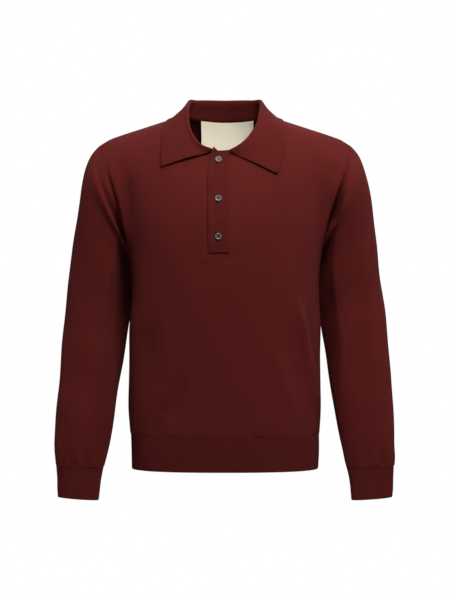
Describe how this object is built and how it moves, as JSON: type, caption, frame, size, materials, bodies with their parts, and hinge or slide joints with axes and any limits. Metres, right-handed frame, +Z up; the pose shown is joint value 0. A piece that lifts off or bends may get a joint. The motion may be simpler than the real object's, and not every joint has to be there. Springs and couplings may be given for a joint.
{
  "type": "sweater",
  "caption": "Long-sleeved fine-knit polo sweater with a flat collar, short buttoned placket, ribbed hem and ribbed cuffs, filled out with no wearer.",
  "frame": {"origin": "middle of the neck opening at the height of the shoulders, where a wearer holds the garment up", "axes": "+Z up, the front faces -Y, +X to the wearer's left"},
  "size_m": [0.6454, 0.2443, 0.766],
  "materials": {
    "knit_body": "matte fine-gauge jersey knit",
    "knit_rib": "matte 1x1 rib knit",
    "label": "smooth woven satin",
    "button": "glossy smoky shell look"
  },
  "bodies": {
    "root": {"front": "knit_body", "back": "knit_body", "sleeve_left": "knit_body", "sleeve_right": "knit_body", "hem_rib_front": "knit_rib", "hem_rib_back": "knit_rib", "cuff_left": "knit_rib", "cuff_right": "knit_rib", "collar": "knit_body", "placket_top": "knit_body", "placket_under": "knit_body", "neck_label": "label", "button_1": "button", "button_2": "button", "button_3": "button"}
  },
  "joints": []
}
